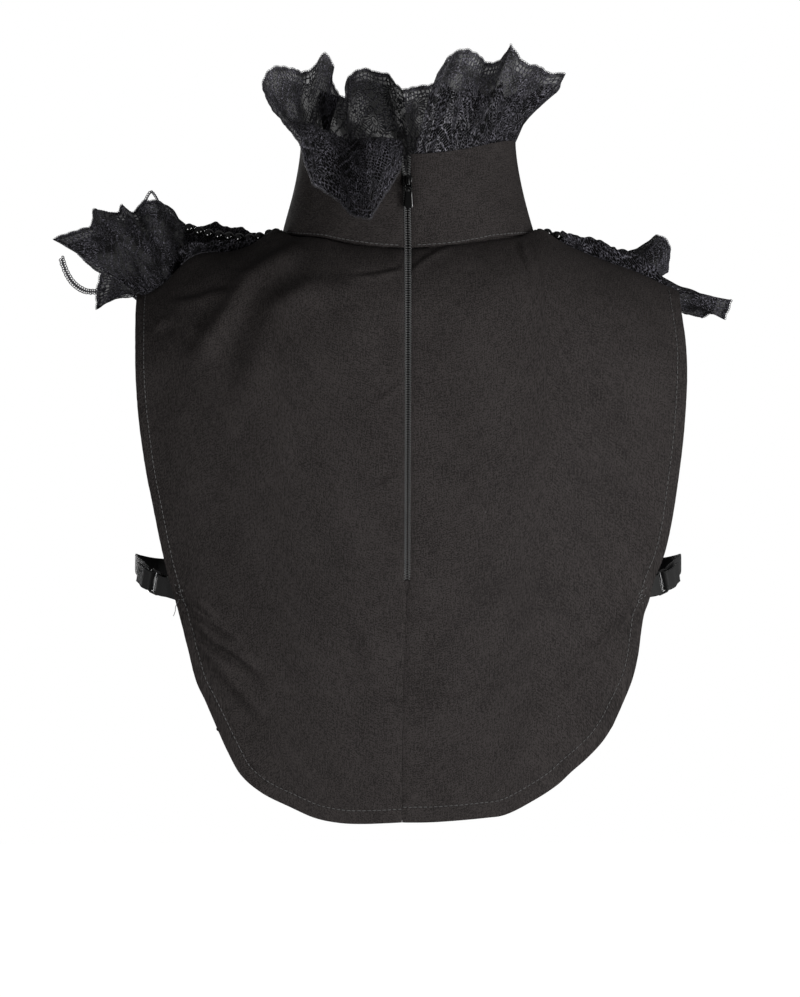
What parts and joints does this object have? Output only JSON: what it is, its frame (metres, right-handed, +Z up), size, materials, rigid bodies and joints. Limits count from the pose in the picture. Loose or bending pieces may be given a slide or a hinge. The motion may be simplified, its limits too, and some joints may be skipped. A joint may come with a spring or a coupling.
{
  "type": "ruffle collar",
  "caption": "Black cotton half blouse with a tall stand collar, lace ruffles round the collar top and shoulders, shoulder beads, a centre back zip and side straps.",
  "frame": {"origin": "middle of the neck, level with the seam between the stand collar and the body", "axes": "+Z up along the neck, +Y towards the wearer's back, +X towards the wearer's left"},
  "size_m": [0.4232, 0.2192, 0.4753],
  "materials": {
    "cotton": "matt plain-woven cotton",
    "lace": "flower and net lace, slightly shiny thread",
    "bead": "polished",
    "thread": "fine sewing thread",
    "zip": "woven tape with a nylon coil",
    "black_metal": "glossy black enamel",
    "elastic": "ribbed elastic webbing",
    "buckle": "smooth"
  },
  "bodies": {
    "garment": {"back_panel_left": "cotton", "back_panel_right": "cotton", "front_bib": "cotton", "collar_band": "cotton", "collar_ruffle": "lace", "shoulder_ruffle_left": "lace", "shoulder_ruffle_right": "lace", "bead_left_01": "bead", "bead_left_02": "bead", "bead_left_03": "bead", "bead_left_04": "bead", "bead_left_05": "bead", "bead_left_06": "bead", "bead_left_07": "bead", "bead_left_08": "bead", "bead_left_09": "bead", "bead_right_01": "bead", "bead_right_02": "bead", "bead_right_03": "bead", "bead_right_04": "bead", "bead_right_05": "bead", "bead_right_06": "bead", "bead_right_07": "bead", "bead_right_08": "bead", "bead_right_09": "bead", "bead_thread_left": "thread", "bead_thread_right": "thread", "zip_half_left": "zip", "zip_half_right": "zip", "zip_slider": "black_metal", "side_tab_left": "elastic", "side_tab_right": "elastic", "side_strap_left": "elastic", "side_strap_right": "elastic", "strap_buckle_left": "buckle", "strap_buckle_right": "buckle"},
    "zip_pull": {"zip_pull": "black_metal"}
  },
  "joints": [
    {"name": "pull_hinge", "type": "hinge", "parent": "garment", "child": "zip_pull", "pos_m": [0, 0.05784, 0.03818], "axis": [1, 0, 0], "range_deg": [0, 165]}
  ]
}
